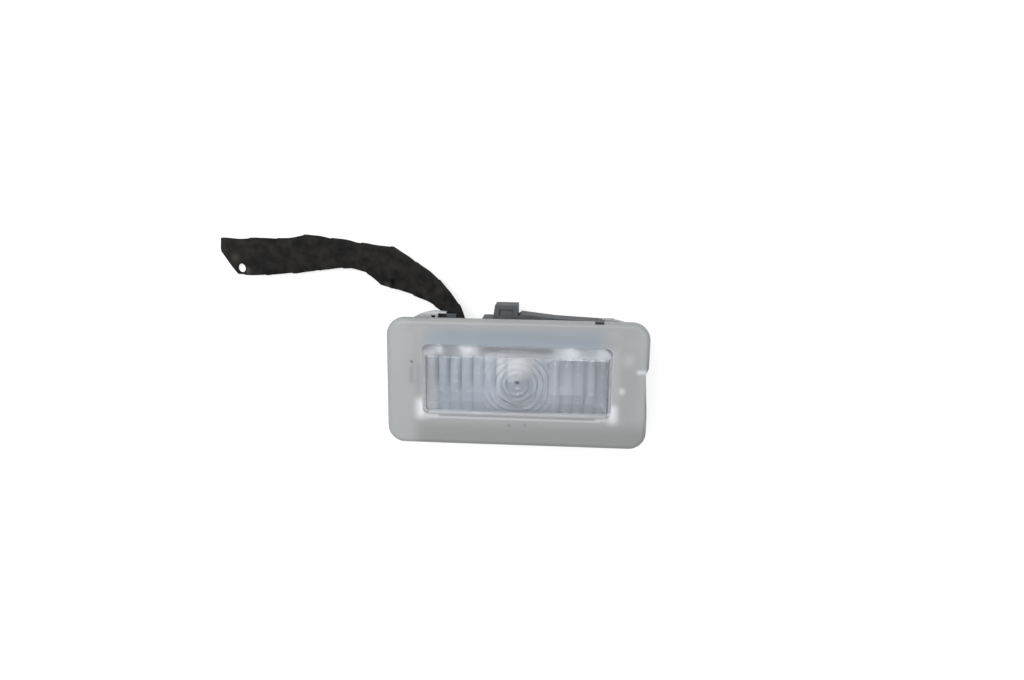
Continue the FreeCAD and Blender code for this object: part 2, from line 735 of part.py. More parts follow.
def cable_sleeve():
    """Taped tail as a round tube of straight runs and tangent arcs, cut flush with the strain relief."""
    radii = []
    length = (tail_route[-1] - tail_route[-2]).Length
    for before, corner, after in zip(tail_route, tail_route[1:], tail_route[2:]):
        shorter = min((corner - before).Length, (after - corner).Length)
        turn = (corner - before).getAngle(after - corner)
        radius = tail_bend_share * shorter / math.tan(turn / 2)
        radii.append(radius)
        length += (corner - before).Length + radius * turn - 2 * tail_bend_share * shorter
    tube = bent_rod(tail_route, radii, tail_diameter)
    print("tail bend radii", [round(radius, 1) for radius in radii])
    print("tail length", round(length, 2), "volume", round(tube.Volume, 2), "section times length",
          round(math.pi * tail_diameter ** 2 / 4 * length, 2))
    inside = block(outlet_x - bezel_length, outlet_x + bezel_length, -bezel_height, clip_top_y,
                   -2 * box_depth, box_depth)
    return tube.cut(inside)


def main():
    os.makedirs("parts", exist_ok=True)
    leads = bulb_leads()
    pieces = {
        "lens": lens(),
        "reflector": reflector(),
        "bulb_holder": bulb_holder(),
        "bulb_glass": bulb_glass(),
        "bulb_filament": bulb_filament(leads),
        "bulb_lead_front": leads[0],
        "bulb_lead_rear": leads[1],
        "contact_front": contact(1),
        "contact_rear": contact(-1),
        "supply_wire": wire(1),
        "ground_wire": wire(-1),
        "cable_clip": cable_clip(),
        "cable_sleeve": cable_sleeve(),
    }
    for name, shape in pieces.items():
        print(name, shape.ShapeType, len(shape.Solids), shape.isValid(), round(shape.Volume, 2))
        shape.exportStep(f"parts/{name}.step")


main()
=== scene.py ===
import bmesh
import bpy
import math
from mathutils import Matrix, Vector, noise


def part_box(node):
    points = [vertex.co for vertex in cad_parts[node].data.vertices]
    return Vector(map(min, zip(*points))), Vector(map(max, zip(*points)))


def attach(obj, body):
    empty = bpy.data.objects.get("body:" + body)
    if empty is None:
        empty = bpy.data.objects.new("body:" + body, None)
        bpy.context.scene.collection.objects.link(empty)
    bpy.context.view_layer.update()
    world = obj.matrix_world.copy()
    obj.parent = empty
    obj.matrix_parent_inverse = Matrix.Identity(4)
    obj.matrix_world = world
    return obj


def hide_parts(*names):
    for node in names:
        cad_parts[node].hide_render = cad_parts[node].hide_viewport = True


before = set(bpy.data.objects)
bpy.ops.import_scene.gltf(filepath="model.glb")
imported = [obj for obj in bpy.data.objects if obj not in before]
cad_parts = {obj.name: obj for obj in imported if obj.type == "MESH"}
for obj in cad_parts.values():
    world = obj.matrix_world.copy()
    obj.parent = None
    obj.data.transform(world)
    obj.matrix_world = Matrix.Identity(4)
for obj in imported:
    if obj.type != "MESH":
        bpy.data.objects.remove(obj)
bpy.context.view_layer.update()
scene = bpy.context.scene
scene.view_settings.view_transform = "Standard"


# Lens: one clear polycarbonate moulding with bezel, window, box, retainer, keeper and snaps.
# The bezel is frosted by an etched mould, the window polished. The window's back carries the
# optics, ring ridges in the middle and cushions at both sides.
MM = 0.001
window_middle_y = 0.85 * MM
window_half_x = 26.3 * MM
window_half_y = 9.55 * MM
window_floor_z = 1.8 * MM
flat_back_z = 0.2 * MM
optics_middle_y = -0.4 * MM
optics_half_x = 26.0 * MM
optics_half_y = 8.0 * MM
optics_back_z = 0.3 * MM
optics_root_z = 0.95 * MM
optics_step = 0.16 * MM
ring_half_x = 9.5 * MM
ring_pitch = 1.6 * MM
ring_rise = 0.26 * MM
ring_core = 0.35
cushion_length = 3.3 * MM
cushion_height = 2.7 * MM
cushion_phase = 0.12
cushion_rise = 0.6 * MM
bow_share_x = 0.85
bow_share_y = 0.15
zone_blend = 1.2 * MM
edge_run = 1.7 * MM
optics_lift = 0.09 * MM


def linear(code):
    """Linear colour of an sRGB hex value."""
    shares = [int(code[index:index + 2], 16) / 255 for index in (1, 3, 5)]
    return [s / 12.92 if s < 0.04045 else ((s + 0.055) / 1.055) ** 2.4 for s in shares] + [1]


def add_node(tree, kind, settings=None, values=None, links=None):
    """Adds a node with its settings, the values of its sockets and the links into them."""
    node = tree.nodes.new(kind)
    for name, value in (settings or {}).items():
        setattr(node, name, value)
    for name, value in (values or {}).items():
        node.inputs[name].default_value = value
    for name, source in (links or {}).items():
        tree.links.new(source, node.inputs[name])
    return node


def new_material(name, values):
    """Material of one Principled shader with its constant values on its own sockets."""
    material = bpy.data.materials.new(name)
    material.use_nodes = True
    tree = material.node_tree
    tree.nodes.clear()
    shader = add_node(tree, "ShaderNodeBsdfPrincipled", values=values)
    add_node(tree, "ShaderNodeOutputMaterial", links={"Surface": shader.outputs["BSDF"]})
    return material, tree, shader


def fine_grain(tree, shader, grain, depth, strength):
    """Bumps of one grain size on a surface. Returns the node that gives the places on it."""
    place = add_node(tree, "ShaderNodeTexCoord")
    speckle = add_node(tree, "ShaderNodeTexNoise", values={"Scale": 1 / grain, "Detail": 2.0},
                       links={"Vector": place.outputs["Object"]})
    bump = add_node(tree, "ShaderNodeBump", values={"Strength": strength, "Distance": depth},
                    links={"Height": speckle.outputs["Fac"]})
    tree.links.new(bump.outputs["Normal"], shader.inputs["Normal"])
    return place


def piece_of(shape, name):
    """New object at the origin that takes over a bmesh."""
    mesh = bpy.data.meshes.new(name)
    shape.to_mesh(mesh)
    shape.free()
    piece = bpy.data.objects.new(name, mesh)
    scene.collection.objects.link(piece)
    return piece


def merged_copy(node, name):
    """New object with a copy of a node's mesh, its loose triangles joined."""
    weld_distance = 0.002 * MM
    flat_angle = math.radians(0.4)
    shape = bmesh.new()
    shape.from_mesh(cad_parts[node].data)
    bmesh.ops.remove_doubles(shape, verts=shape.verts, dist=weld_distance)
    bmesh.ops.dissolve_limit(shape, angle_limit=flat_angle, verts=shape.verts, edges=shape.edges)
    return piece_of(shape, name)


def settle(piece):
    """Turns a piece and its modifiers into a plain mesh."""
    evaluated = piece.evaluated_get(bpy.context.evaluated_depsgraph_get())
    mesh = bpy.data.meshes.new_from_object(evaluated)
    piece.modifiers.clear()
    piece.data = mesh


def carve(piece, tool, operation):
    """Cuts a tool out of a piece or joins it on, and drops the tool."""
    change = piece.modifiers.new("carve", "BOOLEAN")
    change.operation = operation
    change.solver = "EXACT"
    change.object = tool
    settle(piece)
    bpy.data.objects.remove(tool)


def smooth(piece, angle):
    """Smooth shading, with edges kept sharp past an angle in degrees and flat faces kept flat."""
    piece.data.shade_smooth()
    piece.data.set_sharp_from_angle(angle=math.radians(angle))
    even = piece.modifiers.new("even_normals", "WEIGHTED_NORMAL")
    even.weight = 100
    even.keep_sharp = True
    settle(piece)


def paint(piece, *finishes):
    """Gives a piece its finishes, one for each of its material slots."""
    piece.data.materials.clear()
    for finish in finishes:
        piece.data.materials.append(finish)


def clamp(value):
    """Value held between 0 and 1."""
    return max(0, min(1, value))


def optics_height(x, y):
    """Height of the window's back over its lowest level, at a place on the window."""
    out = math.hypot(x, y)
    ridge = 1 - abs(math.sin(math.pi * out / ring_pitch))
    ring = ring_rise * min(1, ring_core + (1 - ring_core) * out / optics_half_y) * ridge
    along = (abs(x) - ring_half_x) / cushion_length + cushion_phase
    across = y / cushion_height
    bow_x = 2 * abs(along - math.floor(along) - 0.5)
    bow_y = 2 * abs(across - math.floor(across) - 0.5)
    cushion = cushion_rise * (bow_share_x * bow_x ** 2 + bow_share_y * bow_y ** 2)
    share = clamp((abs(x) - ring_half_x) / zone_blend + 0.5)
    edge = min(optics_half_x - abs(x), optics_half_y - abs(y)) / edge_run
    return (ring + (cushion - ring) * share + optics_lift) * clamp(edge) - optics_lift


def optics_slab():
    """Closed slab with the optics on its lower side, which bites into the solid window."""
    columns = round(2 * optics_half_x / optics_step)
    rows = round(2 * optics_half_y / optics_step)
    top_z = (optics_root_z + window_floor_z) / 2
    shape = bmesh.new()
    grid = []
    for row in range(rows + 1):
        y = optics_half_y * (2 * row / rows - 1)
        line = []
        for column in range(columns + 1):
            x = optics_half_x * (2 * column / columns - 1)
            z = optics_back_z + optics_height(x, y)
            line.append(shape.verts.new((x, y + optics_middle_y, z)))
        grid.append(line)
    for low, high in zip(grid, grid[1:]):
        for a, b, c, d in zip(low, high, high[1:], low[1:]):
            shape.faces.new((a, b, c, d))
    rim = grid[0] + [line[-1] for line in grid[1:-1]]
    rim += grid[-1][::-1] + [line[0] for line in grid[-2:0:-1]]
    lid = [shape.verts.new((vert.co.x, vert.co.y, top_z)) for vert in rim]
    for index in range(len(rim)):
        after = (index + 1) % len(rim)
        shape.faces.new((rim[index], rim[after], lid[after], lid[index]))
    shape.faces.new(lid)
    bmesh.ops.recalc_face_normals(shape, faces=shape.faces)
    return piece_of(shape, "optics_slab")


def pocket_block():
    """Block that clears the window's back before the optics go in."""
    inset = 0.05 * MM
    deep = optics_root_z + 1.0 * MM
    size = Matrix.Diagonal((2 * (optics_half_x - inset), 2 * (optics_half_y - inset), deep, 1))
    seat = Matrix.Translation((0, optics_middle_y, optics_root_z - deep / 2))
    shape = bmesh.new()
    bmesh.ops.create_cube(shape, size=1, matrix=seat @ size)
    return piece_of(shape, "pocket_block")


lens = merged_copy("lens", "lens_moulding")
carve(lens, pocket_block(), "DIFFERENCE")
carve(lens, optics_slab(), "UNION")
smooth(lens, angle=28)

# Frosted polycarbonate, moulded in an etched tool: pale grey, dull, it lets light through as a haze.
# Walls, lug and ribs behind the bezel are painted on as soft patches of the light and shade that show
# through it.
# The rest is painted light as well: painted shade on the free lower edge, over the reflector and along
# the lower wall, painted highlights at the lower corners, on the lower wall's edge and at the notch, a
# painted shadow at the arm's tip, and the retainer painted paler. Each patch is given by its middle, its
# half width and half height, its soft edge, all in millimetres, and its colour.
patches = {
    # Painted shade on the bezel's free lower edge and over the reflector.
    "shaded_lower_edge": (7.0, -16.0, 36.0, 4.4, 3.0, "#8C8D8D"),
    "shaded_space_over_reflector": (-0.6, 12.9, 25.0, 2.6, 2.4, "#919AA5"),
    "left_wall": (-28.0, 1.2, 0.6, 4.2, 0.9, "#989DA2"),
    "right_wall": (27.6, 3.0, 1.3, 7.5, 1.0, "#A9ACAD"),
    # Painted shade along the lower wall and a painted highlight on its edge.
    "lower_wall_shade": (0.5, -9.3, 23.5, 0.4, 0.4, "#80858A"),
    "lower_edge_highlight": (-0.9, -10.3, 25.0, 0.2, 0.3, "#BFC3C6"),
    # Painted highlights at the lower corners of the box.
    "lower_left_corner_highlight": (-27.5, -7.8, 1.5, 2.8, 1.5, "#E0E4E7"),
    "lower_left_foot_highlight": (-24.2, -9.8, 1.9, 0.7, 0.7, "#C6CACD"),
    "lower_right_corner_highlight": (27.6, -8.0, 1.3, 2.6, 1.4, "#DDE1E4"),
    "lower_right_foot_highlight": (24.4, -9.6, 1.7, 0.6, 0.7, "#C6CACD"),
    "lug_end": (-30.1, 6.0, 0.3, 0.3, 0.35, "#4E5255"),
    "lug_side": (-30.2, 2.0, 0.5, 2.4, 0.7, "#959798"),
    "leaf_pin": (30.0, -1.1, 0.6, 0.7, 0.9, "#D0D3D5"),
    "leaf_boss": (31.7, 8.0, 1.3, 1.6, 1.4, "#B4B7B8"),
    "left_rib": (-1.9, -12.2, 0.35, 0.4, 0.35, "#777B7E"),
    "right_rib": (2.6, -12.0, 0.35, 0.4, 0.35, "#777B7E"),
    # Painted highlight at the notch and painted shadow at the arm's tip.
    "notch_edge_highlight": (35.5, 4.6, 1.5, 0.4, 0.7, "#CFD2D4"),
    "arm_tip_shadow": (23.1, 18.3, 1.3, 0.35, 0.15, "#050606"),
    "retainer": (-26.6, 20.1, 5.6, 1.4, 0.3, "#C2C6C8"),
}


def soft_patch(tree, spot, patch):
    """Share of a soft-edged rectangle at a place of the material."""
    x, y, half_x, half_y, soft = patch[:5]
    sides = []
    for axis, middle, half in (("X", x, half_x), ("Y", y, half_y)):
        aside = add_node(tree, "ShaderNodeMath", settings={"operation": "SUBTRACT"},
                         values={1: middle * MM}, links={0: spot.outputs[axis]})
        reach = add_node(tree, "ShaderNodeMath", settings={"operation": "ABSOLUTE"},
                         links={0: aside.outputs["Value"]})
        limits = {"From Min": (half + soft) * MM, "From Max": max(0, half - soft) * MM}
        sides.append(add_node(tree, "ShaderNodeMapRange", settings={"interpolation_type": "SMOOTHSTEP"},
                              values=limits, links={"Value": reach.outputs["Value"]}))
    both = add_node(tree, "ShaderNodeMath", settings={"operation": "MULTIPLY"},
                    links={0: sides[0].outputs["Result"], 1: sides[1].outputs["Result"]})
    return both.outputs["Value"]


# Sockets of a colour mix: its share, the colour below, the colour on top, and its output.
MIX_SHARE, MIX_BELOW, MIX_TOP, MIX_COLOUR = 0, 6, 7, 2


def lay_patches(tree, spot, tint, patches):
    """Colour with soft patches laid on it one by one, each in the colour that ends its row."""
    for patch in patches:
        mixed = add_node(tree, "ShaderNodeMix", settings={"data_type": "RGBA"},
                         values={MIX_TOP: linear(patch[-1])},
                         links={MIX_SHARE: soft_patch(tree, spot, patch), MIX_BELOW: tint})
        tint = mixed.outputs[MIX_COLOUR]
    return tint


frosted, tree, shader = new_material("frosted_polycarbonate", {
    "Roughness": 0.5, "IOR": 1.58, "Transmission Weight": 0.4, "Specular IOR Level": 0.3})
place = fine_grain(tree, shader, grain=0.35 * MM, depth=0.02 * MM, strength=0.25)
spot = add_node(tree, "ShaderNodeSeparateXYZ", links={"Vector": place.outputs["Object"]})
plain = add_node(tree, "ShaderNodeRGB")
plain.outputs["Color"].default_value = linear("#A2A4A5")
tint = lay_patches(tree, spot, plain.outputs["Color"], patches.values())
tree.links.new(tint, shader.inputs["Base Color"])

# Clear polycarbonate, moulded in a polished tool: glassy, with a faint cold tint and a trace of haze.
# Each cushion on the left carries a painted highlight, a light band that fades to its right side, the
# upper half of the rings lies in a painted white sheen, where less light passes the glass and it turns
# milky, and their middle keeps the dull mark of the mould's gate.
flute_highlight_zone = (-14.0, 3.6, 12.0, 4.5, 2.2)
gate_mark = (0.2, 0.3, 0.6, 0.15, 0.5, "#5E646A")
sheen_zone = (-0.6, 5.4, 4.8, 1.5, 4.5)
clear, tree, shader = new_material("clear_polycarbonate", {"Roughness": 0.19, "IOR": 1.58})
place = add_node(tree, "ShaderNodeTexCoord")
spot = add_node(tree, "ShaderNodeSeparateXYZ", links={"Vector": place.outputs["Object"]})
# Painted highlights: in each left cushion the colour runs from white at its left side to a cold grey at
# its right.
steps = add_node(tree, "ShaderNodeMath", settings={"operation": "MULTIPLY_ADD"}, values={
    1: 1 / cushion_length, 2: ring_half_x / cushion_length - cushion_phase}, links={0: spot.outputs["X"]})
across = add_node(tree, "ShaderNodeMath", settings={"operation": "FRACT"},
                  links={0: steps.outputs["Value"]})
band = add_node(tree, "ShaderNodeValToRGB", links={"Fac": across.outputs["Value"]})
band.color_ramp.elements[0].position = 0.4
band.color_ramp.elements[0].color = linear("#FFFFFF")
band.color_ramp.elements[1].color = linear("#CBD4DE")
highlighted = add_node(tree, "ShaderNodeMix", settings={"data_type": "RGBA"},
                  values={MIX_BELOW: linear("#FBFCFE")},
                  links={MIX_SHARE: soft_patch(tree, spot, flute_highlight_zone), MIX_TOP: band.outputs["Color"]})
tint = lay_patches(tree, spot, highlighted.outputs[MIX_COLOUR], [gate_mark])
tree.links.new(tint, shader.inputs["Base Color"])
# Painted sheen: over the rings' upper half the glass lets less light through and shows milky white.
sheen = add_node(tree, "ShaderNodeMapRange", values={"To Min": 0.96, "To Max": 0.74},
                 links={"Value": soft_patch(tree, spot, sheen_zone)})
tree.links.new(sheen.outputs["Result"], shader.inputs["Transmission Weight"])

# The flat face and the steps round the optics and the rim's lower run, left matt by the tool: clear,
# but blurred and milky.
matt = new_material("matt_clear_polycarbonate", {
    "Base Color": linear("#FBFCFE"), "Roughness": 0.42, "IOR": 1.58, "Transmission Weight": 0.82})[0]

rim_width = 0.8 * MM
rim_matt_below_y = -5.5 * MM
level_normal_z = 0.9
steep_normal_z = 0.3
slack = 0.1 * MM
flat_slack = 0.03 * MM
paint(lens, frosted, clear, matt)
for face in lens.data.polygons:
    middle = face.center
    beside = max(abs(middle.x) - window_half_x, abs(middle.y - window_middle_y) - window_half_y)
    in_window = beside < slack and slack < middle.z < window_floor_z + slack
    on_rim = beside < rim_width and middle.z > window_floor_z and face.normal.z < level_normal_z
    on_flat = in_window and abs(middle.z - flat_back_z) < flat_slack
    on_step = in_window and abs(face.normal.z) < steep_normal_z
    on_low_rim = on_rim and middle.y < rim_matt_below_y
    face.material_index = 2 if on_flat or on_step or on_low_rim else 1 if in_window or on_rim else 0
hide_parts("lens")
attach(lens, "root")


# Reflector: a trough pressed from bright aluminium sheet, held behind the bezel by two barbs.
# The press leaves it bright with a faint waviness, and a hair of air stays before its plate.
reflector_gap = 0.06 * MM
# Painted light on the sheet: shaded places painted darker, the lit left side and highlights along the
# upper run painted white, each given by its middle, its half width and half height, its soft edge, all in
# millimetres, and its colour.
painted_light_spots = {
    "shaded_right": (20.0, -1.0, 11.0, 12.0, 9.0, "#C3C9D2"),
    "shaded_left": (-17.0, -6.5, 8.0, 4.0, 5.0, "#D6DEE8"),
    "lit_left_side": (-26.0, 0.0, 2.2, 9.0, 0.9, "#FFFFFF"),
    "left_shade": (-19.3, 9.4, 2.2, 1.2, 1.8, "#8E959F"),
    "right_shade": (20.0, 9.2, 1.4, 1.0, 1.3, "#99A0AA"),
    "left_end_highlight": (-22.6, 9.4, 0.8, 0.8, 1.1, "#FFFFFF"),
    "left_middle_highlight": (-14.3, 9.4, 1.7, 1.0, 2.3, "#FFFFFF"),
    "right_middle_highlight": (15.4, 9.2, 1.7, 0.9, 2.3, "#F8FAFD"),
    "right_end_highlight": (24.4, 9.0, 1.5, 0.7, 1.3, "#F4F6FA"),
}
aluminium, tree, shader = new_material("pressed_bright_aluminium", {"Metallic": 0.12, "Roughness": 0.6})
place = fine_grain(tree, shader, grain=5 * MM, depth=0.25 * MM, strength=0.35)
spot = add_node(tree, "ShaderNodeSeparateXYZ", links={"Vector": place.outputs["Object"]})
# Painted shade: the sheet is painted darker towards its front plate.
depth = add_node(tree, "ShaderNodeMapRange", values={"From Min": -4 * MM, "From Max": -0.5 * MM},
                 links={"Value": spot.outputs["Z"]})
tone = add_node(tree, "ShaderNodeMix", settings={"data_type": "RGBA"},
                values={MIX_BELOW: linear("#EDF3FC"), MIX_TOP: linear("#AEB4BD")},
                links={MIX_SHARE: depth.outputs["Result"]})
tint = lay_patches(tree, spot, tone.outputs[MIX_COLOUR], painted_light_spots.values())
tree.links.new(tint, shader.inputs["Base Color"])
reflector = merged_copy("reflector", "reflector_pressing")
reflector.data.transform(Matrix.Translation((0, 0, -reflector_gap)))
reflector.data.shade_smooth()
reflector.data.set_sharp_from_angle(angle=math.radians(50))
paint(reflector, aluminium)
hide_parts("reflector")
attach(reflector, "root")


# Bulb glass: a wedge-base bulb of blown soda glass, held by its flat pinch in the socket. The glass
# is clear and smooth, with a faint cold tint.
bulb = merged_copy("bulb_glass", "bulb_glass_blown")
smooth(bulb, angle=50)
glass = new_material("blown_soda_glass", {
    "Base Color": linear("#F3F8FE"), "Roughness": 0.02, "IOR": 1.5, "Transmission Weight": 0.9})[0]
paint(bulb, glass)
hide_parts("bulb_glass")
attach(bulb, "root")


# Leads: two nickel-plated wires through the pinch, which carry the filament at their inner ends and
# lie folded on the pinch's faces outside. The plating shines in a warm grey.
nickel, tree, shader = new_material("nickel_plated_wire", {
    "Base Color": linear("#B9B4A8"), "Metallic": 1.0, "Roughness": 0.3})
fine_grain(tree, shader, grain=0.2 * MM, depth=0.01 * MM, strength=0.3)
for name in ("bulb_lead_front", "bulb_lead_rear"):
    paint(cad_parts[name], nickel)


# Filament: a coil of drawn tungsten wire, wound in one layer and fixed between the leads. The bare
# wire is dark grey and rather dull.
tungsten, tree, shader = new_material("drawn_tungsten", {
    "Base Color": linear("#2E2D2D"), "Metallic": 0.6, "Roughness": 0.5})
fine_grain(tree, shader, grain=0.1 * MM, depth=0.005 * MM, strength=0.3)
coil_low, coil_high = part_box("bulb_filament")
coil_length = coil_high.x - coil_low.x
coil_radius = (coil_high.z - coil_low.z) / 2
coil_wire = 0.09 * MM
coil_turns = 14.0


def coil_tree():
    """Nodes that wind a wire into a coil along X."""
    tree = bpy.data.node_groups.new("filament_coil", "GeometryNodeTree")
    tree.interface.new_socket("Geometry", in_out="OUTPUT", socket_type="NodeSocketGeometry")
    for name in ("Length", "Radius", "Wire", "Turns"):
        tree.interface.new_socket(name, in_out="INPUT", socket_type="NodeSocketFloat")
    tree.interface.new_socket("Finish", in_out="INPUT", socket_type="NodeSocketMaterial")
    sizes = add_node(tree, "NodeGroupInput")
    spiral = add_node(tree, "GeometryNodeCurveSpiral", values={"Resolution": 14}, links={
        "Rotations": sizes.outputs["Turns"], "Start Radius": sizes.outputs["Radius"],
        "End Radius": sizes.outputs["Radius"], "Height": sizes.outputs["Length"]})
    section = add_node(tree, "GeometryNodeCurvePrimitiveCircle", values={"Resolution": 8},
                       links={"Radius": sizes.outputs["Wire"]})
    wire = add_node(tree, "GeometryNodeCurveToMesh", values={"Fill Caps": True}, links={
        "Curve": spiral.outputs["Curve"], "Profile Curve": section.outputs["Curve"]})
    laid = add_node(tree, "GeometryNodeTransform", values={"Rotation": (0, math.pi / 2, 0)},
                    links={"Geometry": wire.outputs["Mesh"]})
    real = add_node(tree, "GeometryNodeRealizeInstances", links={"Geometry": laid.outputs["Geometry"]})
    painted = add_node(tree, "GeometryNodeSetMaterial", links={
        "Geometry": real.outputs["Geometry"], "Material": sizes.outputs["Finish"]})
    add_node(tree, "NodeGroupOutput", links={"Geometry": painted.outputs["Geometry"]})
    return tree


filament = piece_of(bmesh.new(), "filament_coil")
winding = filament.modifiers.new("winding", "NODES")
winding.node_group = coil_tree()
coil_sizes = {"Length": coil_length, "Radius": coil_radius - coil_wire, "Wire": coil_wire,
              "Turns": coil_turns, "Finish": tungsten}
for socket in winding.node_group.interface.items_tree:
    if socket.name in coil_sizes:
        winding[socket.identifier] = coil_sizes[socket.name]
settle(filament)
coil_middle = (coil_low + coil_high) / 2
filament.data.transform(Matrix.Translation((coil_low.x, coil_middle.y, coil_middle.z)))
filament.data.shade_smooth()
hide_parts("bulb_filament")
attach(filament, "root")


# Bulb holder: a dark grey PBT moulding that plugs in through the box's upper wall. Its socket
# takes the bulb, and its grip and latch arm stay outside.
def edge_round(piece, width, angle):
    """Small round on every edge sharper than an angle in degrees."""
    bevel = piece.modifiers.new("edge_round", "BEVEL")
    bevel.width = width
    bevel.segments = 2
    bevel.limit_method = "ANGLE"
    bevel.angle_limit = math.radians(angle)
    settle(piece)
    smooth(piece, angle)


# PBT, moulded in a spark-eroded tool: dull and dark, with a fine grain and paler scuffs.
def moulded_pbt(name, dark, pale):
    """PBT whose grey wanders between two shades."""
    material, tree, shader = new_material(name, {
        "Roughness": 0.6, "IOR": 1.55, "Specular IOR Level": 0.35})
    place = fine_grain(tree, shader, grain=0.3 * MM, depth=0.02 * MM, strength=0.4)
    scuff = add_node(tree, "ShaderNodeTexNoise", values={"Scale": 1 / (3 * MM), "Detail": 4.0},
                     links={"Vector": place.outputs["Object"]})
    tone = add_node(tree, "ShaderNodeValToRGB", links={"Fac": scuff.outputs["Fac"]})
    tone.color_ramp.elements[0].position = 0.35
    tone.color_ramp.elements[0].color = linear(dark)
    tone.color_ramp.elements[1].position = 0.75
    tone.color_ramp.elements[1].color = linear(pale)
    tree.links.new(tone.outputs["Color"], shader.inputs["Base Color"])
    return material


grey_pbt = moulded_pbt("dark_grey_pbt", dark="#34373A", pale="#404346")
holder = merged_copy("bulb_holder", "bulb_holder_moulding")
edge_round(holder, width=0.14 * MM, angle=40)
paint(holder, grey_pbt)
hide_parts("bulb_holder")
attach(holder, "root")


# Strain relief: a PBT moulding snapped into the box's upper wall, where the tail leaves through it.
# It is painted nearly black, darker than its own dark grey, as painted shade, and its lit front lip keeps
# the holder's dark grey.
lip_back_z = -5.7 * MM
shaded_pbt = moulded_pbt("shaded_black_grey_pbt", dark="#070808", pale="#0C0D0D")
relief = merged_copy("cable_clip", "strain_relief_moulding")
edge_round(relief, width=0.14 * MM, angle=40)
paint(relief, shaded_pbt, grey_pbt)
# Painted shade: faces behind the lip take the nearly black finish, the lit lip the dark grey one.
for face in relief.data.polygons:
    face.material_index = 1 if face.center.z > lip_back_z else 0
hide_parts("cable_clip")
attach(relief, "root")


# Contacts: two parts stamped from tinned brass in the socket, each crimped on a wire. The tin
# shines in a pale warm grey.
brass, tree, shader = new_material("tinned_stamped_brass", {
    "Base Color": linear("#B5B0A4"), "Metallic": 1.0, "Roughness": 0.32})
fine_grain(tree, shader, grain=0.4 * MM, depth=0.01 * MM, strength=0.3)
for name in ("contact_front", "contact_rear"):
    paint(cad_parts[name], brass)


# Wires: two strands with extruded PVC insulation, from the crimps to the outlet in the box's upper
# wall. The insulation is black with a soft shine.
pvc, tree, shader = new_material("extruded_pvc", {
    "Base Color": linear("#1E1F20"), "Roughness": 0.45, "IOR": 1.53})
fine_grain(tree, shader, grain=0.5 * MM, depth=0.02 * MM, strength=0.3)
for name in ("supply_wire", "ground_wire"):
    paint(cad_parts[name], pvc)


# Tail: the two wires wrapped in black cloth tape, half lapped. It leaves the strain relief round,
# goes flat where it drops to the ground, and ends in a flat taped end, cut obliquely and pierced.
# Its middle line, in millimetres:
tail_route = [
    (-16.5, 13.3, -8.2),
    (-20.5, 19.9, -10.2),
    (-27.2, 25.0, -12.4),
    (-35.0, 29.2, -14.5),
    (-43.8, 32.6, -15.5),
    (-58.5, 35.6, -15.9),
    (-78.0, 33.7, -16.6),
    (-91.0, 34.6, -17.0),
]
ground_z = -18 * MM
# Its section by share of its length: reach to the upper and lower side, thickness, in millimetres.
tail_sections = [
    (0.00, 2.0, 2.3, 4.2),
    (0.05, 2.9, 1.9, 4.3),
    (0.12, 3.5, 2.8, 4.5),
    (0.20, 4.4, 3.9, 4.6),
    (0.28, 4.9, 4.8, 4.6),
    (0.33, 5.5, 5.7, 4.7),
    (0.365, 6.1, 6.0, 4.7),
    (0.44, 4.8, 3.8, 4.4),
    (0.50, 4.3, 3.4, 4.2),
    (0.60, 4.7, 4.9, 3.8),
    (0.68, 5.4, 5.65, 3.4),
    (0.76, 4.9, 5.8, 3.0),
    (0.88, 4.9, 6.35, 1.9),
    (1.00, 4.0, 6.6, 1.0),
]
tail_rings = 190
tail_sides = 56
tail_corner_power = 2.6
drop_start = 0.35
drop_run = 0.15
ground_gap = 0.02 * MM
wrap_girth = 16 * MM
lap_pitch = 8.5 * MM
lap_step = 0.22 * MM
wrinkle = 0.28 * MM
wrinkle_size = 4.5 * MM
cut_slope = 0.8
cut_start = -0.2 * MM
cut_reach = 2.5 * MM
cut_length = 0.2
exit_point = (-18.0 * MM, 15.8 * MM, -9.0 * MM)
start_before_exit = 0.4 * MM
hole_diameter = 2.8 * MM
hole_depth = 10 * MM
hole_from_end = 4.2 * MM
hole_side = 4.5 * MM

route_curve = bpy.data.curves.new("tail_route", "CURVE")
route_curve.dimensions = "3D"
route_curve.resolution_u = 24
spline = route_curve.splines.new("NURBS")
spline.points.add(len(tail_route) - 1)
for point, spot in zip(spline.points, tail_route):
    point.co = (spot[0] * MM, spot[1] * MM, spot[2] * MM, 1)
spline.order_u = 3
spline.use_endpoint_u = True
route = bpy.data.objects.new("tail_route", route_curve)
scene.collection.objects.link(route)
route_mesh = bpy.data.meshes.new_from_object(route)
line = [vert.co.copy() for vert in route_mesh.vertices]
bpy.data.objects.remove(route)
bpy.data.meshes.remove(route_mesh)
start_y = exit_point[1] - start_before_exit
line = line[next(index for index, spot in enumerate(line) if spot.y > start_y):]
travel = [0.0]
for before, after in zip(line, line[1:]):
    travel.append(travel[-1] + (after - before).length)
tail_length = travel[-1]


def spot_at(distance):
    """Point and direction of the tail's line at a distance from its start."""
    index = next((i for i in range(1, len(line) - 1) if travel[i] >= distance), len(line) - 1)
    share = (distance - travel[index - 1]) / (travel[index] - travel[index - 1])
    return line[index - 1].lerp(line[index], share), (line[index] - line[index - 1]).normalized()


def section_at(share):
    """Reach to the upper and the lower side, and thickness, at a share of the tail's length."""
    after = next(index for index in range(1, len(tail_sections)) if tail_sections[index][0] >= share)
    start, end = tail_sections[after - 1], tail_sections[after]
    step = (share - start[0]) / (end[0] - start[0])
    return [(start[i] + (end[i] - start[i]) * step) * MM for i in (1, 2, 3)]


def squared(value):
    """Sine or cosine that runs round a rounded rectangle in place of a circle."""
    return math.copysign(abs(value) ** (2 / tail_corner_power), value)


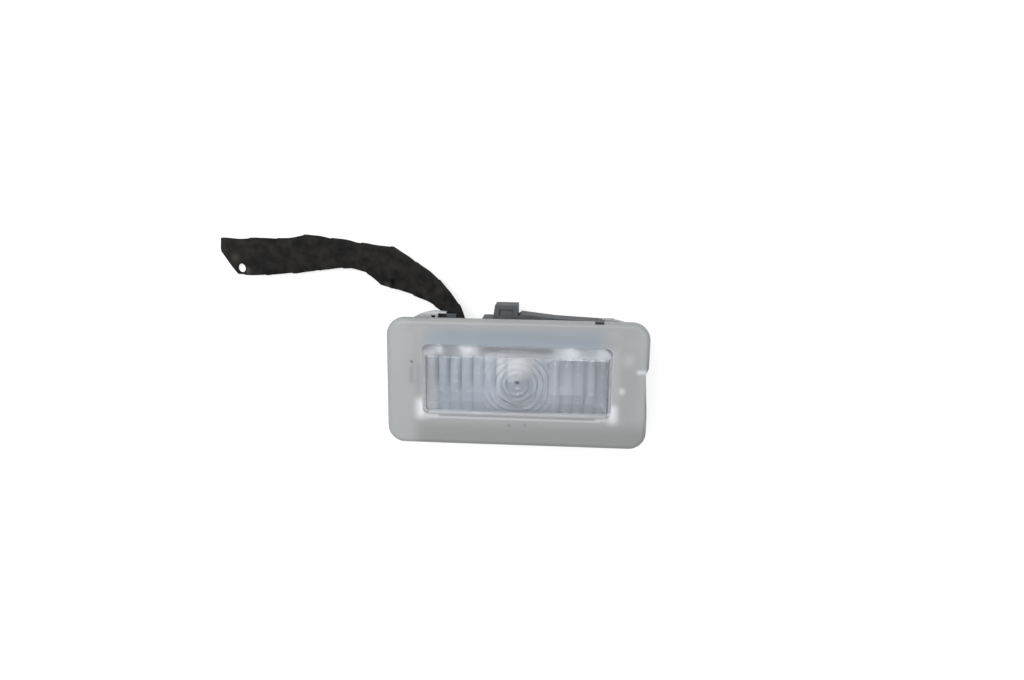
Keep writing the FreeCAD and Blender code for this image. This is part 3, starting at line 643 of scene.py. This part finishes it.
shape = bmesh.new()
wrap = shape.loops.layers.uv.new("wrap")
rings = []
for ring_index in range(tail_rings + 1):
    share = ring_index / tail_rings
    middle, way = spot_at(share * tail_length)
    upper, lower, thickness = section_at(share)
    drop = clamp((share - drop_start) / drop_run)
    middle.z += drop * (ground_z + thickness / 2 + lap_step - middle.z)
    aside = Vector((0, 0, 1)).cross(way).normalized()
    up = way.cross(aside).normalized()
    cut = max(0.0, (share - 1 + cut_length) / cut_length) ** 2
    ring = []
    for side_index in range(tail_sides):
        angle = 2 * math.pi * side_index / tail_sides
        across = squared(math.cos(angle))
        above = squared(math.sin(angle))
        lap = (share * tail_length / lap_pitch - side_index / tail_sides) % 1.0
        reach = across * (lower if across > 0 else upper)
        spot = middle + aside * reach + up * (above * thickness / 2)
        rough = noise.noise(spot / wrinkle_size) * wrinkle
        out = (aside * across + up * above).normalized() * (lap * lap_step + rough)
        spot += out + way * cut * (cut_reach - cut_slope * max(0.0, reach - cut_start))
        spot.z = max(spot.z, ground_z + ground_gap)
        ring.append(shape.verts.new(spot))
    rings.append(ring)
    middle.copy()
for ring_index, (low, high) in enumerate(zip(rings, rings[1:])):
    for side_index in range(tail_sides):
        after = (side_index + 1) % tail_sides
        face = shape.faces.new((low[side_index], low[after], high[after], high[side_index]))
        corners = ((side_index, 0), (side_index + 1, 0), (side_index + 1, 1), (side_index, 1))
        for loop, (side, step) in zip(face.loops, corners):
            run = (ring_index + step) / tail_rings * tail_length
            loop[wrap].uv = (side / tail_sides * wrap_girth, run)
shape.faces.new(rings[0])
shape.faces.new(rings[-1])
bmesh.ops.recalc_face_normals(shape, faces=shape.faces)
tail = piece_of(shape, "taped_tail")

hole_shape = bmesh.new()
hole_spot, hole_way = spot_at(tail_length - hole_from_end)
hole_aside = Vector((0, 0, 1)).cross(hole_way).normalized()
hole_place = hole_spot + hole_aside * hole_side
bmesh.ops.create_cone(hole_shape, cap_ends=True, segments=24, radius1=hole_diameter / 2,
                      radius2=hole_diameter / 2, depth=hole_depth, matrix=Matrix.Translation(hole_place))
carve(tail, piece_of(hole_shape, "end_hole"), "DIFFERENCE")
smooth(tail, angle=50)

# Cotton cloth tape, woven: dull black with a faint brown cast and a plain weave of fine threads,
# drawn at 0.5 mm so that it shows.
tape, tree, shader = new_material("woven_cloth_tape", {
    "Roughness": 0.85, "IOR": 1.45, "Specular IOR Level": 0.12})
thread = 0.5 * MM
wave_radians_per_unit = 20
weave_scale = 1 / thread / wave_radians_per_unit * math.pi * 2
# Painted light and shade on the tape, each given by its middle, its half width and half height, its soft
# edge, all in millimetres, and its colour: painted shade in the tear, the turned edge beside it painted
# paler, and painted highlights on the folds over and beside the hole.
tape_light_and_shade = {
    "shaded_tear": (-38.6, 27.0, 0.6, 0.9, 0.6, "#030303"),
    "turned_edge": (-40.6, 26.0, 0.9, 0.6, 0.7, "#33312E"),
    "lit_fold_over_hole": (-89.0, 33.0, 1.2, 1.2, 1.2, "#34322E"),
    "lit_fold_beside_hole": (-84.9, 29.0, 0.6, 1.0, 0.8, "#3A3834"),
}
lay = add_node(tree, "ShaderNodeUVMap", settings={"uv_map": "wrap"})
warp, weft = [add_node(tree, "ShaderNodeTexWave", settings={"bands_direction": direction},
                       values={"Scale": weave_scale, "Distortion": 0.3},
                       links={"Vector": lay.outputs["UV"]}) for direction in ("X", "Y")]
weave = add_node(tree, "ShaderNodeMath", settings={"operation": "MAXIMUM"},
                 links={0: warp.outputs["Fac"], 1: weft.outputs["Fac"]})
bump = add_node(tree, "ShaderNodeBump", values={"Strength": 0.5, "Distance": 0.1 * MM},
                links={"Height": weave.outputs["Value"]})
tree.links.new(bump.outputs["Normal"], shader.inputs["Normal"])
place = add_node(tree, "ShaderNodeTexCoord")
dust = add_node(tree, "ShaderNodeTexNoise", values={"Scale": 1 / (3 * MM), "Detail": 8.0},
                links={"Vector": place.outputs["Object"]})
tone = add_node(tree, "ShaderNodeValToRGB", links={"Fac": dust.outputs["Fac"]})
tone.color_ramp.elements[0].position = 0.35
tone.color_ramp.elements[0].color = linear("#121213")
tone.color_ramp.elements[1].position = 0.75
tone.color_ramp.elements[1].color = linear("#272522")
spot = add_node(tree, "ShaderNodeSeparateXYZ", links={"Vector": place.outputs["Object"]})
tint = lay_patches(tree, spot, tone.outputs["Color"], tape_light_and_shade.values())
tree.links.new(tint, shader.inputs["Base Color"])
paint(tail, tape)
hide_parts("cable_sleeve")
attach(tail, "root")


# Ground: a plain pale sheet that the lamp lies on. Seen directly or through glass it glows part
# of the way to white and still takes the lamp's shadow.
ground_half = 1.5
glow_share = 0.6
ground_shape = bmesh.new()
bmesh.ops.create_grid(ground_shape, x_segments=1, y_segments=1, size=ground_half,
                      matrix=Matrix.Translation((0, 0, ground_z)))
ground = piece_of(ground_shape, "ground")
paper = bpy.data.materials.new("white_paper_ground")
paper.use_nodes = True
tree = paper.node_tree
tree.nodes.clear()
ray = add_node(tree, "ShaderNodeLightPath")
seen = add_node(tree, "ShaderNodeMath", settings={"operation": "MAXIMUM"},
                links={0: ray.outputs["Is Camera Ray"], 1: ray.outputs["Is Glossy Ray"]})
shown = add_node(tree, "ShaderNodeMath", settings={"operation": "MAXIMUM"},
                 links={0: seen.outputs["Value"], 1: ray.outputs["Is Transmission Ray"]})
share = add_node(tree, "ShaderNodeMath", settings={"operation": "MULTIPLY"}, values={1: glow_share},
                 links={0: shown.outputs["Value"]})
sheet = add_node(tree, "ShaderNodeBsdfDiffuse", values={"Color": linear("#F2F2F2")})
glow = add_node(tree, "ShaderNodeEmission", values={"Color": (1, 1, 1, 1), "Strength": 1.1})
mixed = add_node(tree, "ShaderNodeMixShader", links={
    0: share.outputs["Value"], 1: sheet.outputs["BSDF"], 2: glow.outputs["Emission"]})
add_node(tree, "ShaderNodeOutputMaterial", links={"Surface": mixed.outputs["Shader"]})
ground.data.materials.append(paper)


# Light: an even pale sky and one large soft lamp, high on the left.
world = bpy.data.worlds.new("soft_studio")
world.use_nodes = True
tree = world.node_tree
tree.nodes.clear()
sky = add_node(tree, "ShaderNodeBackground", values={"Color": linear("#F7F8F9"), "Strength": 0.6})
add_node(tree, "ShaderNodeOutputWorld", links={"Surface": sky.outputs["Background"]})
scene.world = world
lamp_data = bpy.data.lights.new("soft_lamp", "AREA")
lamp_data.shape = "DISK"
lamp_data.size = 0.5
lamp_data.energy = 4.2
lamp = bpy.data.objects.new("soft_lamp", lamp_data)
lamp_place = Vector((-0.12, 0.2, 0.55))
lamp_turn = lamp_place.to_track_quat("Z", "Y").to_matrix().to_4x4()
lamp.matrix_world = Matrix.Translation(lamp_place) @ lamp_turn
scene.collection.objects.link(lamp)


# View of the lamp as it lies on its back: from in front of the window, a little beyond its
# upper long side, through a short camera lens about 200 mm away.
camera_place = Vector((10.79, 52.43, 201.55)) * MM
camera_target = Vector((-1.456, 12.754, 1.3)) * MM
camera_roll = math.radians(0.806)
camera_data = bpy.data.cameras.new("camera")
camera_data.sensor_fit = "HORIZONTAL"
camera_data.sensor_width = 36
camera_data.lens = 25.3125
camera_data.clip_start = 0.01
camera = bpy.data.objects.new("camera", camera_data)
backward = (camera_place - camera_target).normalized()
rightward = Vector((0, 1, 0)).cross(backward).normalized()
upward = backward.cross(rightward)
turn = Matrix.Rotation(camera_roll, 3, backward)
axes = Matrix((turn @ rightward, turn @ upward, backward)).transposed()
camera.matrix_world = Matrix.Translation(camera_place) @ axes.to_4x4()
scene.collection.objects.link(camera)
scene.camera = camera
